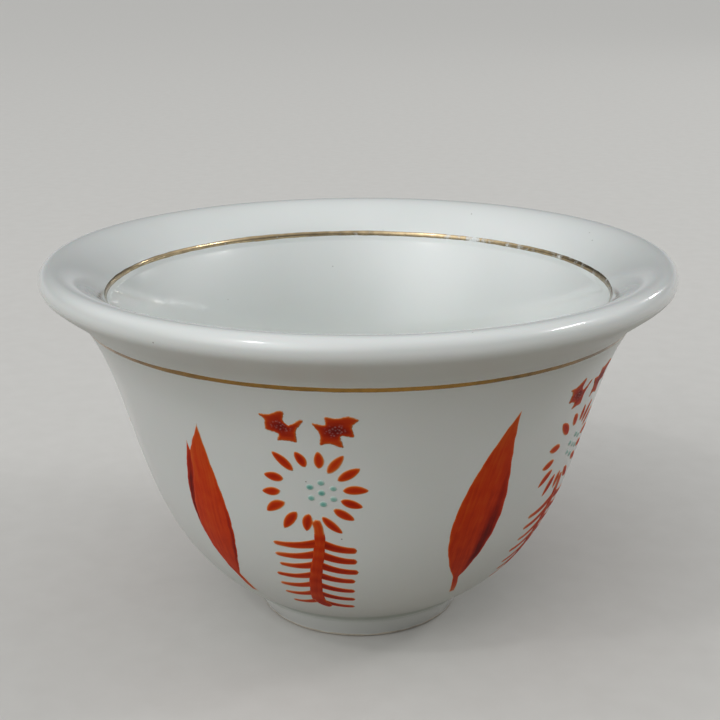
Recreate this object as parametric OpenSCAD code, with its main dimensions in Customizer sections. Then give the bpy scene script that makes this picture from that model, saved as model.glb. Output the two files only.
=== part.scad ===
// A small porcelain coffee cup without a handle: a bowl with a flared, rounded lip on a short
// turned foot ring, two gold lines, and a painted border of five flowers and five feathers.
// The cup's axis is Z, the table is at Z = 0, and the first flower faces -Y. Millimetres.

/* [Bowl] */
// Diameter of the rim, over its rounded edge
rim_d = 75; // [71:0.5:80]
// Height of the cup, from the table to the top of the lip
cup_h = 45; // [42:0.5:49]
// Radius of the rounded edge of the lip
lip_r = 1.55; // [1.3:0.05:1.8]
// Width of the flare, from the throat, where the wall turns out into the lip, to the rim
flare_w = 4.8; // [3.6:0.1:6]
// Depth of the throat below the top of the lip
throat_drop = 6.5; // [5.5:0.1:7.5]
// Thickness of the bowl's wall
wall_t = 3.3; // [2.6:0.1:3.8]
// Height that the inside wall runs on past the throat, up to the mouth of the bowl
mouth_rise = 0.8; // [0.3:0.1:1.4]
// Thickness of the bowl's floor at its centre
floor_t = 3.4; // [2.6:0.1:4.2]

/* [Foot ring] */
// Diameter of the face that stands on the table
foot_d = 25; // [22:0.5:28]
// Diameter of the ring where it meets the bowl
foot_top_d = 29.2; // [27:0.2:31]
// Height of the ring, from the table to the bowl
foot_h = 3.8; // [3:0.1:5]
// Width of the ring, in to its recess
foot_t = 2.6; // [2:0.1:3.4]
// Radius of the turned edges at the table
foot_edge_r = 0.4; // [0.2:0.05:0.7]
// Rise of the recess's roof from the ring to its centre
recess_rise = 0.5; // [0.2:0.1:0.9]

/* [Gold lines] */
// Width of the line round the outside, at the throat
outer_gold_w = 0.65; // [0.4:0.05:1.2]
// Width of the line inside, at the mouth of the bowl
inner_gold_w = 0.8; // [0.4:0.05:1.4]
// Thickness of the fired gold
gold_t = 0.05; // [0.03:0.01:0.1]

/* [Flowers] */
// Bare band between the gold line and the tips of the buds
flower_top_gap = 3; // [2:0.1:5]
// Bare band between the foot ring and the lowest leaflet
flower_foot_gap = 3.9; // [3:0.1:6]
// Width of a flower, across its two buds
flower_w = 10.4; // [9:0.1:12]
// Length of a petal
petal_l = 2.6; // [2:0.1:2.9]
// Width of a petal
petal_w = 1.05; // [0.7:0.05:1.1]
// Diameter of a turquoise dot
dot_d = 0.65; // [0.4:0.05:0.9]
// Width of the stem under the flower
stem_w = 0.95; // [0.6:0.05:1]
// Width of the stem at its foot
stem_foot_w = 1.45; // [1:0.05:2]
// Width of the top leaflets where they leave the stem
leaflet_w = 1.2; // [0.8:0.05:1.4]
// Thickness of the enamel
enamel_t = 0.12; // [0.06:0.02:0.2]

/* [Feathers] */
// Bare band between the gold line and the tip of a feather
feather_top_gap = 4.9; // [4:0.1:8]
// Bare band between the foot ring and the quill of a feather
feather_foot_gap = 5.1; // [3:0.1:7]
// Width of a feather at its widest
feather_w = 6.4; // [5:0.1:7.5]
// Width of the quill at the foot of a feather
quill_w = 0.7; // [0.3:0.05:0.8]

/* [Hidden] */
REPEATS = 5;
COPIES = [for (k = [1 : REPEATS]) str(k)];

PORCELAIN = [0.86, 0.88, 0.87];
GOLD = [0.72, 0.52, 0.22];
IRON_RED = [0.78, 0.22, 0.07];
TURQUOISE = [0.38, 0.66, 0.6];

// Each copy is painted by hand, so the turns round the cup and the sizes are a little uneven
flower_turns = [-9.5, 63, 134, 207, 275];
flower_tilts = [0, 6, 1.5, -2, 2];
feather_turns = [-38.3, 29, 97.5, 171, 243.5];
feather_tilts = [0, -0.5, -1.5, 1.5, -1];
feather_is_forked = [true, false, true, false, true];
// Width and height of each feather, as shares of the width and height set for all
feather_size_share = [[0.88, 0.95], [1, 1], [0.93, 0.97], [0.97, 0.98], [0.9, 0.96]];
// How far each feather stands above its place, as a share of its height
feather_rise_share = [-0.02, 0, 0.01, -0.01, 0.01];

// Shape of the wall: its two curve handles, across from the foot to the throat and up
belly_share = [0.74, 0.228];
waist_share = [0.668, 0.712];
// Shape of the flare under the lip, as shares of the lip's radius
flare_start_share = 1;
flare_end_share = 1;
// Angle on the lip's edge at which the flare meets it
lip_turn = -45;
// How far the slope inside the lip keeps level before it drops, as a share of its width
lip_level_share = 0.35;
lip_drop_share = 0.4;
// How far the inside wall leans out as it runs up to the mouth, as a share of that height
mouth_flare_share = 0.15;
// Handles of the curve from the wall into the floor, as shares of the floor's radius
floor_bend_share = 0.22;
floor_flat_share = 0.5;

WALL_STEPS = 26;
FLARE_STEPS = 8;
LIP_STEPS = 12;
FLOOR_STEPS = 8;
EDGE_STEPS = 4;
// Steps of the wall, from the foot, that the floor's curve takes the place of
FLOOR_START = 5;

rim_r = rim_d / 2;
throat = [rim_r - flare_w, cup_h - throat_drop];
foot_top = [foot_top_d / 2, foot_h];
foot_r = foot_d / 2;
recess_r = foot_r - foot_t;
floor_z = foot_h + recess_rise + floor_t;
lip_centre = [rim_r - lip_r, cup_h - lip_r];

function unit(v) = v / norm(v);
function bezier(p, t) =
    pow(1 - t, 3) * p[0] + 3 * t * pow(1 - t, 2) * p[1] + 3 * t * t * (1 - t) * p[2] + pow(t, 3) * p[3];
function curve(p, steps) = [for (i = [0 : steps]) bezier(p, i / steps)];
// A curve with one handle
function bend(from, handle, to, steps) =
    curve([from, from + (handle - from) * 2 / 3, to + (handle - to) * 2 / 3, to], steps);
function between(a, b, share) = [a.x + share.x * (b.x - a.x), a.y + share.y * (b.y - a.y)];
function arc(centre, r, from, to, steps) =
    [for (i = [0 : steps]) let (a = from + (to - from) * i / steps) centre + r * [cos(a), sin(a)]];
function reversed(p) = [for (i = [len(p) - 1 : -1 : 0]) p[i]];
function rest(p) = [for (i = [1 : len(p) - 1]) p[i]];
// Moves a line of points sideways, to the right of the way that it runs
function beside(p, d) = [for (i = [0 : len(p) - 1])
    let (way = unit(p[min(i + 1, len(p) - 1)] - p[max(i - 1, 0)])) p[i] + d * [way.y, -way.x]];

// The outside of the bowl, from the foot ring up to the lip
wall_line = curve([foot_top, between(foot_top, throat, belly_share),
    between(foot_top, throat, waist_share), throat], WALL_STEPS);
wall_way = unit(throat - between(foot_top, throat, waist_share));
lip_under = lip_centre + lip_r * [cos(lip_turn), sin(lip_turn)];
lip_way = [-sin(lip_turn), cos(lip_turn)];
flare_line = curve([throat, throat + flare_start_share * lip_r * wall_way,
    lip_under - flare_end_share * lip_r * lip_way, lip_under], FLARE_STEPS);
outside = concat(wall_line, rest(flare_line));
lip_line = arc(lip_centre, lip_r, lip_turn, 90, LIP_STEPS);

// The inside of the bowl, from the mouth down to the middle of the floor
inner_wall = let (line = beside(wall_line, -wall_t))
    [for (i = [WALL_STEPS : -1 : FLOOR_START]) line[i]];
mouth = inner_wall[0] + mouth_rise * [mouth_flare_share, 1];
lip_top = [lip_centre.x, cup_h];
slope_line = curve([lip_top, lip_top - [lip_level_share * (lip_top.x - mouth.x), 0],
    mouth + lip_drop_share * (lip_top.y - mouth.y) * wall_way, mouth], FLARE_STEPS);
floor_edge = inner_wall[len(inner_wall) - 1];
floor_way = unit(floor_edge - inner_wall[len(inner_wall) - 2]);
floor_line = curve([floor_edge, floor_edge + floor_bend_share * floor_edge.x * floor_way,
    [floor_flat_share * floor_edge.x, floor_z], [0, floor_z]], FLOOR_STEPS);
inside = concat(slope_line, inner_wall);
recess_roof = curve([[0, foot_h + recess_rise], [recess_r / 2, foot_h + recess_rise],
    [recess_r / 2, foot_h], [recess_r, foot_h]], FLOOR_STEPS);

module cup_body() {
    color(PORCELAIN)
        rotate_extrude()
            polygon(concat(recess_roof, outside, rest(lip_line), rest(inside), rest(floor_line)));
}

module foot_ring() {
    outer_edge = arc([foot_r - foot_edge_r, foot_edge_r], foot_edge_r, -90, 0, EDGE_STEPS);
    inner_edge = arc([recess_r + foot_edge_r, foot_edge_r], foot_edge_r, 180, 270, EDGE_STEPS);
    color(PORCELAIN)
        rotate_extrude()
            polygon(concat([[recess_r, foot_h]], inner_edge, outer_edge, [foot_top]));
}

// A coat of even thickness along a line of the cup's section
module coat(line, d) {
    polygon(concat(line, reversed(beside(line, d))));
}

// The stretch of a coat that lies within a height
module gold_line(line, d, middle, width) {
    color(GOLD)
        rotate_extrude()
            intersection() {
                coat(line, d);
                translate([0, middle - width / 2])
                    square([rim_r, width]);
            }
}

module outer_gold_line() {
    gold_line(outside, gold_t, throat.y, outer_gold_w);
}

module inner_gold_line() {
    gold_line(inside, gold_t, mouth.y, inner_gold_w);
}

// Enamel on the outside of the wall: the children's outline, seen from in front, laid on it
module enamel(paint, turn) {
    color(paint)
        intersection() {
            rotate_extrude()
                coat(wall_line, enamel_t);
            rotate([90, 0, turn])
                linear_extrude(rim_r)
                    children();
        }
}

// Sizes of the painted panel between the foot ring and the gold line
flower_foot = foot_h + flower_foot_gap;
flower_h = throat.y - flower_top_gap - flower_foot;
feather_foot = foot_h + feather_foot_gap;
feather_h = throat.y - feather_top_gap - feather_foot;

// Outlines of the feathers: across in half widths, up in heights, from the quill to the tip
feather_root_share = [-0.04, 0.12];
feather_tip_share = [0.72, 1.005];
right_edge_share = [[1.66, 0.51], [0.79, 0.61]];
left_edge_share = [[-1.4, 0.36], [-1.36, 0.58]];
// A forked feather has a second tip and a notch beside the first
fork_tip_share = [-0.13, 0.9];
fork_notch_share = [-0.12, 0.845];
fork_edge_share = [[-1.42, 0.46], [-0.98, 0.62]];
quill_foot_share = [0.19, -0.01];
EDGE_POINTS = 12;

// Places on a flower: x across from its axis in widths, y up from its foot in heights
ring_share = [0.85, 0.32];
ring_centre_share = [-0.013, 0.645];
dots_centre_share = [0.08, 0.64];
stem_line_share = [[-0.02, 0.515], [0.11, 0.4], [-0.15, 0.24], [-0.1, 0.05]];
// The petals, clockwise from the upper left: turn, lean off the radius, reach as a share of the
// ring's radius, and length as a share of a petal's
petals_share = [
    [130, 4, 1.05, 1.15], [105, 13, 0.93, 0.8], [78, 11, 0.93, 0.82], [54, -2, 0.99, 1.1],
    [31, 2, 1.02, 1.08], [4, -4, 1.01, 1.02], [-19, -2, 0.95, 0.92], [-42, 8, 0.94, 0.97],
    [-67, 20, 1.03, 1.12], [-102, 2, 0.93, 0.92], [-125, 2, 1.08, 1.1], [-151, 6, 1.09, 1],
    [-175, 4, 1.03, 0.8], [160, 11, 0.99, 0.82]
];
// Reach of the outer dots, as a share of the ring's radius
dots_reach_share = 0.31;
// The leaflets, from the lowest: reach to the left and to the right
leaflets_share = [
    [-0.42, 0.29], [-0.475, 0.3], [-0.51, 0.325], [-0.51, 0.345], [-0.485, 0.375],
    [-0.49, 0.375], [-0.5, 0.4]
];
leaflet_first_share = 0.06;
leaflet_step_share = 0.057;
leaflet_droop_share = [0.023, 0.036];
// Width of the lowest leaflets, as a share of the top ones'
leaflet_low_share = 0.65;
// Width of a leaflet's tip, to the left and to the right, as a share of its width at the stem
leaflet_tip_share = [0.45, 0.65];
// The stem's foot turns aside in a short hook, as the brush left it
stem_hook_share = [[-0.102, 0.08], [-0.085, 0.03], [0.03, 0.022]];
// Outlines of the two star-shaped buds, from their outer tips
left_bud_share = [
    [-0.508, 0.981], [-0.386, 0.978], [-0.262, 1.003], [-0.223, 0.994], [-0.248, 0.955],
    [-0.198, 0.936], [-0.075, 0.97], [-0.038, 0.962], [-0.134, 0.917], [-0.122, 0.862],
    [-0.236, 0.87], [-0.341, 0.866], [-0.299, 0.899], [-0.444, 0.911], [-0.429, 0.956]
];
right_bud_share = [
    [0.504, 0.974], [0.416, 0.943], [0.443, 0.892], [0.295, 0.905], [0.339, 0.843], [0.189, 0.869],
    [0.094, 0.854], [0.113, 0.908], [0.023, 0.959], [0.179, 0.945], [0.157, 0.987], [0.288, 0.978],
    [0.395, 0.992]
];
DAB_POINTS = 8;
// Powers that set how far a dab's widest place lies to its outer end, and how blunt its ends are
DAB_SKEW = 0.85;
DAB_BLUNTNESS = 0.7;
// Dots round the middle one
DOTS = 6;

function on_feather(share, size) = [share.x * size.x * feather_w / 2, share.y * size.y * feather_h];
function on_flower(share) = [share.x * flower_w, share.y * flower_h];
// A place off the middle of the petals' ring, at a turn and a share of the ring's radius
function off_ring(turn, reach) =
    reach / 2 * on_flower([ring_share.x * cos(turn), ring_share.y * sin(turn)]);
// Half outline of a dab of the brush, from its inner end to its outer end
function dab_side(l, w, side) = [for (i = [0 : DAB_POINTS]) let (t = i / DAB_POINTS)
    [l * (t - 1 / 2), side * w / 2 * pow(sin(180 * pow(t, DAB_SKEW)), DAB_BLUNTNESS)]];
// Edge of a stroke that goes along a line while its width changes evenly
function stroke_side(line, from, to, side) = let (n = len(line) - 1) [for (i = [0 : n])
    let (way = unit(line[min(i + 1, n)] - line[max(i - 1, 0)]))
        line[i] + side * (from + (to - from) * i / n) / 2 * [way.y, -way.x]];

module stroke(line, from, to) {
    polygon(concat(stroke_side(line, from, to, 1), reversed(stroke_side(line, from, to, -1))));
}

module feather(k) {
    forked = feather_is_forked[k];
    size = feather_size_share[k];
    root = on_feather(feather_root_share, size);
    tip = on_feather(feather_tip_share, size);
    quill = on_feather(quill_foot_share, size);
    left_tip = forked ? on_feather(fork_tip_share, size) : tip;
    left = forked ? fork_edge_share : left_edge_share;
    right_edge = curve([root + [quill_w / 2, 0], on_feather(right_edge_share[0], size),
        on_feather(right_edge_share[1], size), tip], EDGE_POINTS);
    left_edge = curve([root - [quill_w / 2, 0], on_feather(left[0], size),
        on_feather(left[1], size), left_tip], EDGE_POINTS);
    notch = forked ? [on_feather(fork_notch_share, size), left_tip] : [];
    enamel(IRON_RED, feather_turns[k])
        translate([0, feather_foot + feather_rise_share[k] * feather_h])
            rotate(feather_tilts[k])
                polygon(concat([quill + [quill_w / 2, 0]], right_edge, notch, rest(reversed(left_edge)),
                    [quill - [quill_w / 2, 0]]));
}

// Lays one flower's outlines on the wall at its own turn and tilt
module on_wall(paint, k) {
    enamel(paint, flower_turns[k])
        translate([0, flower_foot])
            rotate(flower_tilts[k])
                children();
}

module buds(k) {
    on_wall(IRON_RED, k) {
        polygon([for (share = left_bud_share) on_flower(share)]);
        polygon([for (share = right_bud_share) on_flower(share)]);
    }
}

module petals(k) {
    on_wall(IRON_RED, k)
        translate(on_flower(ring_centre_share))
            for (petal = petals_share)
                translate(off_ring(petal[0], petal[2]))
                    rotate(petal[0] + petal[1])
                        petal_dab(petal[3] * petal_l);
}

module petal_dab(l) {
    polygon(concat(dab_side(l, petal_w, -1), rest(reversed(rest(dab_side(l, petal_w, 1))))));
}

module dots(k) {
    on_wall(TURQUOISE, k)
        translate(on_flower(dots_centre_share)) {
            circle(d = dot_d);
            for (i = [0 : DOTS - 1])
                translate(off_ring(90 + 360 * i / DOTS, dots_reach_share))
                    circle(d = dot_d);
        }
}

module stem(k) {
    line = curve([for (share = stem_line_share) on_flower(share)], EDGE_POINTS);
    hook = [for (share = stem_hook_share) on_flower(share)];
    on_wall(IRON_RED, k) {
        stroke(line, stem_w, stem_foot_w);
        stroke(bend(hook[0], hook[1], hook[2], EDGE_STEPS), stem_foot_w, stem_w);
        for (i = [0 : len(leaflets_share) - 1])
            for (side = [0, 1])
                leaflet(i, side);
    }
}

// A leaflet leaves the middle of the stem at its own height and droops to its tip
module leaflet(i, side) {
    height = leaflet_first_share + i * leaflet_step_share;
    along = (stem_line_share[0].y - height) / (stem_line_share[0].y - stem_line_share[3].y);
    root = on_flower([bezier(stem_line_share, along).x, height]);
    tip = on_flower([leaflets_share[i][side], height - leaflet_droop_share[side]]);
    droop = [(root.x + tip.x) / 2, tip.y];
    width = leaflet_w * (leaflet_low_share + (1 - leaflet_low_share) * i / (len(leaflets_share) - 1));
    stroke(bend(root, droop, tip, EDGE_STEPS), width, leaflet_tip_share[side] * width);
}

cup_body();
foot_ring();
outer_gold_line();
inner_gold_line();
for (k = [0 : REPEATS - 1]) {
    feather(k);
    buds(k);
    petals(k);
    dots(k);
    stem(k);
}
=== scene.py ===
import math

import bpy
import numpy as np
from mathutils import Matrix, Vector
from mathutils.geometry import delaunay_2d_cdt


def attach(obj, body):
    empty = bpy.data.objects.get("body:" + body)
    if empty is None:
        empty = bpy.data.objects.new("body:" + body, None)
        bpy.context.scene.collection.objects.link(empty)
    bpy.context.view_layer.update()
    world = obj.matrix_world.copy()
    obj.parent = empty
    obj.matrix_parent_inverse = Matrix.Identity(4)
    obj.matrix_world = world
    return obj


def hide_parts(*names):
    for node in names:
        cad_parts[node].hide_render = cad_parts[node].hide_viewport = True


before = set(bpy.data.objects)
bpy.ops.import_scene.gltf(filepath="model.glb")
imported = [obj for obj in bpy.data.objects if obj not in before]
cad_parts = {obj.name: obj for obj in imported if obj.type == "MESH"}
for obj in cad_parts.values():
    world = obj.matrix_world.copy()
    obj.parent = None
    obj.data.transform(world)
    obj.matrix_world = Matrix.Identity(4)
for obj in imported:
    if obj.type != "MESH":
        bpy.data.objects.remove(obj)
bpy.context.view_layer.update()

# The bowl is white porcelain, pressed in a turning plaster mould and sponged round at the lip.
# Clear glaze covers it: a little greener where it ran together, in the bottom and at the foot,
# where that colour is also painted shade, darker than the glaze itself; and thin and duller where
# the wall faces down, under the flare of the lip.
MM = 0.001
FACES_ROUND = 300
RIM_R, CUP_H, LIP_R = 37.5, 45.0, 1.55
FLARE_W, THROAT_DROP, LIP_TURN = 4.8, 6.5, -45
WALL_T, FLOOR_T, MOUTH_RISE, MOUTH_LEAN = 3.3, 3.4, 0.8, 0.12
FOOT_TOP_R, FOOT_H, RECESS_R, RECESS_RISE = 14.6, 3.8, 9.9, 0.5
BELLY_SHARE, WAIST_SHARE = (0.74, 0.228), (0.668, 0.712)
LIP_LEVEL_SHARE, LIP_DROP_SHARE = 0.35, 0.4
FLOOR_BEND_SHARE, FLOOR_FLAT_SHARE = 0.22, 0.5
FOOT_R, FOOT_EDGE_R = 12.5, 0.4
GLAZE_HOLLOW, HOLLOW_REACH, HOLLOW_PULLS = 0.8, 2.4, (0.9, 1.2)
TUCK_DOWN, TUCK_IN = 0.1, (0.004, 0)
WALL_STEPS, FLOOR_START, SHORT_STEPS, HOLLOW_STEPS = 104, 20, 24, 20
OVAL_SHARE, OVAL_TURN, DENT_SHARE, DENTS_ROUND, DENTS_UP = 0.0016, 0.9, 0.0011, (5, 3), (7, 11)
LIP_SAG, SAG_TURN, SAG_POWER = 0.09, 2.2, 6
GLAZE_WHITE = (226, 229, 227)
GLAZE_POOL_AND_SHADE = (193, 201, 193)
SPECK_BROWN = (92, 80, 70)


def colour(tone):
    """A colour from its screen values, 0 to 255."""
    return [c / 12.92 if c <= 0.04045 else ((c + 0.055) / 1.055) ** 2.4
            for c in (value / 255 for value in tone)] + [1]


def curve(handles, steps):
    """Points along a curve with four handles."""
    t = np.linspace(0, 1, steps + 1)[:, None]
    a, b, c, d = (np.array(h, float) for h in handles)
    return (1 - t) ** 3 * a + 3 * t * (1 - t) ** 2 * b + 3 * t ** 2 * (1 - t) * c + t ** 3 * d


def arc(centre, radius, start, end, steps):
    """Points along part of a circle, between two angles in degrees."""
    angle = np.radians(np.linspace(start, end, steps + 1))
    return np.array(centre) + radius * np.column_stack([np.cos(angle), np.sin(angle)])


def ways(line):
    """The way that a line runs at each of its points."""
    way = np.gradient(line, axis=0)
    return way / np.linalg.norm(way, axis=1, keepdims=True)


def aside(line):
    """The direction to the right of a line, at each of its points."""
    way = ways(line)
    return np.column_stack([way[:, 1], -way[:, 0]])


throat = np.array([RIM_R - FLARE_W, CUP_H - THROAT_DROP])
foot_top = np.array([FOOT_TOP_R, FOOT_H])
waist = foot_top + WAIST_SHARE * (throat - foot_top)
wall = curve([foot_top, foot_top + BELLY_SHARE * (throat - foot_top), waist, throat], WALL_STEPS)
wall_way = (throat - waist) / np.linalg.norm(throat - waist)
lip = arc([RIM_R - LIP_R, CUP_H - LIP_R], LIP_R, LIP_TURN, 90, SHORT_STEPS)
lip_way = np.array([-math.sin(math.radians(LIP_TURN)), math.cos(math.radians(LIP_TURN))])
flare = curve([throat, throat + LIP_R * wall_way, lip[0] - LIP_R * lip_way, lip[0]], SHORT_STEPS)
outside = np.vstack([wall, flare[1:], lip[1:]])
inner_wall = (wall - WALL_T * aside(wall))[FLOOR_START:][::-1]
mouth = inner_wall[0] + [MOUTH_LEAN, MOUTH_RISE]
lip_top = lip[-1]
slope = curve([lip_top, lip_top - [LIP_LEVEL_SHARE * (lip_top - mouth)[0], 0],
               mouth + LIP_DROP_SHARE * (lip_top - mouth)[1] * wall_way, mouth], SHORT_STEPS)
floor_edge, floor_z = inner_wall[-1], FOOT_H + RECESS_RISE + FLOOR_T
floor = curve([floor_edge, floor_edge + FLOOR_BEND_SHARE * floor_edge[0] * ways(inner_wall)[-1],
               [FLOOR_FLAT_SHARE * floor_edge[0], floor_z], [0, floor_z]], SHORT_STEPS)
inside = np.vstack([slope, inner_wall, floor[1:]])
ring_side = foot_top - [FOOT_R, FOOT_EDGE_R]
ring_side = ring_side / np.linalg.norm(ring_side)
hollow_low = foot_top - GLAZE_HOLLOW * ring_side
off_foot = np.linalg.norm(wall - foot_top, axis=1)
onto_wall = int(np.argmin(np.abs(off_foot - HOLLOW_REACH * GLAZE_HOLLOW)))
hollow_high, high_way = wall[onto_wall], ways(wall)[onto_wall]
hollow = curve([hollow_low, hollow_low + HOLLOW_PULLS[0] * GLAZE_HOLLOW * ring_side,
                hollow_high - HOLLOW_PULLS[1] * GLAZE_HOLLOW * high_way, hollow_high], HOLLOW_STEPS)
tucked_in = hollow_low - TUCK_DOWN * ring_side - TUCK_IN
recess = curve([[0, FOOT_H + RECESS_RISE], [RECESS_R / 2, FOOT_H + RECESS_RISE],
                [RECESS_R / 2, FOOT_H], [RECESS_R, FOOT_H]], SHORT_STEPS)


def fired(points):
    """Points of the cup as fired: a hair out of round, and the lip not quite level."""
    x, y, z = np.moveaxis(points, -1, 0)
    turn, rise = np.arctan2(y, x), np.clip(z / CUP_H, 0, 1)
    oval = OVAL_SHARE * rise * (1 + np.cos(2 * turn + OVAL_TURN)) / 2
    waves = (np.sin(DENTS_ROUND[0] * turn + DENTS_UP[0] * rise)
             * np.cos(DENTS_ROUND[1] * turn - DENTS_UP[1] * rise))
    inward = 1 - oval - DENT_SHARE * rise * (1 + waves) / 2
    sag = LIP_SAG * rise ** SAG_POWER * (1 + np.cos(2 * turn + SAG_TURN)) / 2
    return np.stack([x * inward, y * inward, z - sag], -1)


def swept_round(sections):
    """Points and faces of a ring, from one closed section for each turn round the axis."""
    turns, size = sections.shape[:2]
    angle = np.linspace(0, 2 * math.pi, turns, endpoint=False)[:, None]
    radius, height = np.moveaxis(sections, -1, 0)
    points = np.stack([radius * np.cos(angle), radius * np.sin(angle), height], -1).reshape(-1, 3)
    faces = [(i * size + k, (i + 1) % turns * size + k, (i + 1) % turns * size + (k + 1) % size,
              i * size + (k + 1) % size) for i in range(turns) for k in range(size)]
    return points, faces


def new_mesh(name, points, faces):
    """An object with a smooth mesh, from points in millimetres."""
    mesh = bpy.data.meshes.new(name)
    mesh.from_pydata((points * MM).tolist(), [], faces)
    mesh.shade_smooth()
    made = bpy.data.objects.new(name, mesh)
    bpy.context.scene.collection.objects.link(made)
    return made


body_line = np.vstack([recess, tucked_in, hollow, wall[onto_wall + 1:], flare[1:], lip[1:], inside[1:]])
ring = body_line[1:-1]
points, faces = swept_round(np.repeat(ring[None], FACES_ROUND, 0))
last = len(ring) - 1
faces = [f for f in faces if f[0] % len(ring) != last]
under, middle = len(points), len(points) + 1
points = np.vstack([points, [0, 0, body_line[0][1]], [0, 0, body_line[-1][1]]])
for i in range(FACES_ROUND):
    here, there = i * len(ring), (i + 1) % FACES_ROUND * len(ring)
    faces += [(under, there, here), (middle, here + last, there + last)]
bowl = new_mesh("bowl", fired(points), faces)


def add(tree, kind, sockets=(), **settings):
    """Adds a node to a tree, with its settings made and its sockets set or linked."""
    made = tree.nodes.new("ShaderNode" + kind)
    for name, value in settings.items():
        setattr(made, name, value)
    for name, value in dict(sockets).items():
        if isinstance(value, bpy.types.NodeSocket):
            tree.links.new(value, made.inputs[name])
        else:
            made.inputs[name].default_value = value
    return made


def place_on(tree):
    """The place of each point in its own piece."""
    return add(tree, "TexCoord").outputs["Object"]


def part_of(vector, axis):
    """One of the three numbers of a vector."""
    return add(vector.id_data, "SeparateXYZ", {0: vector}).outputs[axis]


def reckoned(operation, *values, clamp=False):
    """The result of a sum on a socket and further sockets or values."""
    return add(values[0].id_data, "Math", enumerate(values), operation=operation,
               use_clamp=clamp).outputs[0]


def mixed(share, a, b):
    """The colour between two colours."""
    return add(share.id_data, "Mix", {0: share, 6: a, 7: b}, data_type="RGBA").outputs[2]


def ranged(value, low, high, to_low=0, to_high=1):
    """A value stretched from one range to another, and kept inside it."""
    return add(value.id_data, "MapRange", {"Value": value, "From Min": low, "From Max": high,
                                           "To Min": to_low, "To Max": to_high}).outputs[0]


def clouded(place, scale, detail):
    """Soft clouds, so many of them to a unit of the given place."""
    return add(place.id_data, "TexNoise", {"Vector": place, "Scale": scale,
                                           "Detail": detail}).outputs[0]


def new_group(name, inputs, outputs):
    """The tree of a new node group, what it is given, and the node that takes its results."""
    tree = bpy.data.node_groups.new(name, "ShaderNodeTree")
    for direction, sockets in (("INPUT", inputs), ("OUTPUT", outputs)):
        for socket, kind in sockets:
            tree.interface.new_socket(socket, in_out=direction, socket_type="NodeSocket" + kind)
    return tree, tree.nodes.new("NodeGroupInput").outputs, tree.nodes.new("NodeGroupOutput")


def new_material(name, **shader):
    """A material, its tree, and its shader with its plain values set."""
    made = bpy.data.materials.new(name)
    made.use_nodes = True
    surface = made.node_tree.nodes["Principled BSDF"]
    for socket, value in shader.items():
        surface.inputs[socket.replace("_", " ")].default_value = value
    return made, made.node_tree, surface


def feed(node, **sources):
    """Links what is given to a node's sockets of those names."""
    for socket, source in sources.items():
        node.id_data.links.new(source, node.inputs[socket.replace("_", " ")])


# What every glazed face of the ware shows: soft clouds in the white, a few iron specks of the
# clay, and the low ripple of a glaze that ran as it melted. Scales are counts to the metre.
CLOUD_SCALE, CLOUD_SPAN, CLOUD_DEPTH = 60, (0.35, 0.75), 0.16
SPECK_SCALE, SPECK_EDGE, SPECK_DEPTH, SPECKS_KEPT = 560, (0.025, 0.065), 0.8, (0.9, 0.94)
RIPPLE_SCALE, PEEL_SCALE, PEEL_SHARE, GLAZE_RELIEF = 170, 1100, 0.03, 0.004 * MM
glaze_face, given, result = new_group(
    "glazed ware", [("Place", "Vector"), ("White", "Color"), ("Pool Color", "Color"),
                    ("Pool and Shade", "Float"), ("Speck Color", "Color")],
    [("Color", "Color"), ("Height", "Float")])
place = given["Place"]
clouds = ranged(clouded(place, CLOUD_SCALE, 3), *CLOUD_SPAN, 0, CLOUD_DEPTH)
# The pool colour is the glaze's own green where it ran together, and painted shade, darker than that.
pooled_and_shaded = reckoned("ADD", clouds, given["Pool and Shade"], clamp=True)
tinted = mixed(pooled_and_shaded, given["White"], given["Pool Color"])
cells = add(glaze_face, "TexVoronoi", {"Vector": place, "Scale": SPECK_SCALE})
spot = ranged(cells.outputs["Distance"], *SPECK_EDGE, SPECK_DEPTH, 0)
chance = add(glaze_face, "SeparateColor", {0: cells.outputs["Color"]}).outputs[0]
speck = reckoned("MULTIPLY", spot, ranged(chance, *SPECKS_KEPT))
specked = mixed(speck, tinted, given["Speck Color"])
ripple = clouded(place, RIPPLE_SCALE, 1)
peel = clouded(place, PEEL_SCALE, 1)
relief = reckoned("MULTIPLY_ADD", peel, PEEL_SHARE, ripple)
feed(result, Color=specked, Height=relief)


def glazed(tree, pool_and_shade):
    """Colour and normal of a glazed face, pooled green and painted shade where the share is high."""
    face = add(tree, "Group", {
        "Place": place_on(tree), "Pool and Shade": pool_and_shade, "White": colour(GLAZE_WHITE),
        "Pool Color": colour(GLAZE_POOL_AND_SHADE), "Speck Color": colour(SPECK_BROWN)}, node_tree=glaze_face)
    bump = {"Height": face.outputs["Height"], "Distance": GLAZE_RELIEF, "Strength": 1}
    return face.outputs["Color"], add(tree, "Bump", bump).outputs[0]


# Low inside the bowl, on faces that look up, and in the joint above the foot, the glaze's pool green is
# also painted shade.
POOL_AND_SHADE_HEIGHTS, POOL_AND_SHADE_FACING = (36 * MM, 10 * MM), (0.05, 0.8)
JOINT_LOW, JOINT_HIGH = (2.6 * MM, 3.7 * MM), (4.8 * MM, 3.9 * MM)
THIN_FACING, THIN_COAT, THIN_ROUGHNESS, GLAZE_ROUGHNESS = (-0.05, -0.6), 0.1, 0.4, 0.22
bowl_glaze, tree, surface = new_material(
    "clear glaze on white porcelain", IOR=1.5, Coat_Roughness=0.07,
    Subsurface_Weight=0.06, Subsurface_Scale=2 * MM)
height = part_of(place_on(tree), "Z")
facing_up = part_of(add(tree, "NewGeometry").outputs["Normal"], "Z")
low_inside, up = ranged(height, *POOL_AND_SHADE_HEIGHTS), ranged(facing_up, *POOL_AND_SHADE_FACING)
joint = reckoned("MULTIPLY", ranged(height, *JOINT_LOW), ranged(height, *JOINT_HIGH))
pool_and_shade = reckoned("MULTIPLY_ADD", low_inside, up, joint, clamp=True)
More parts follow.
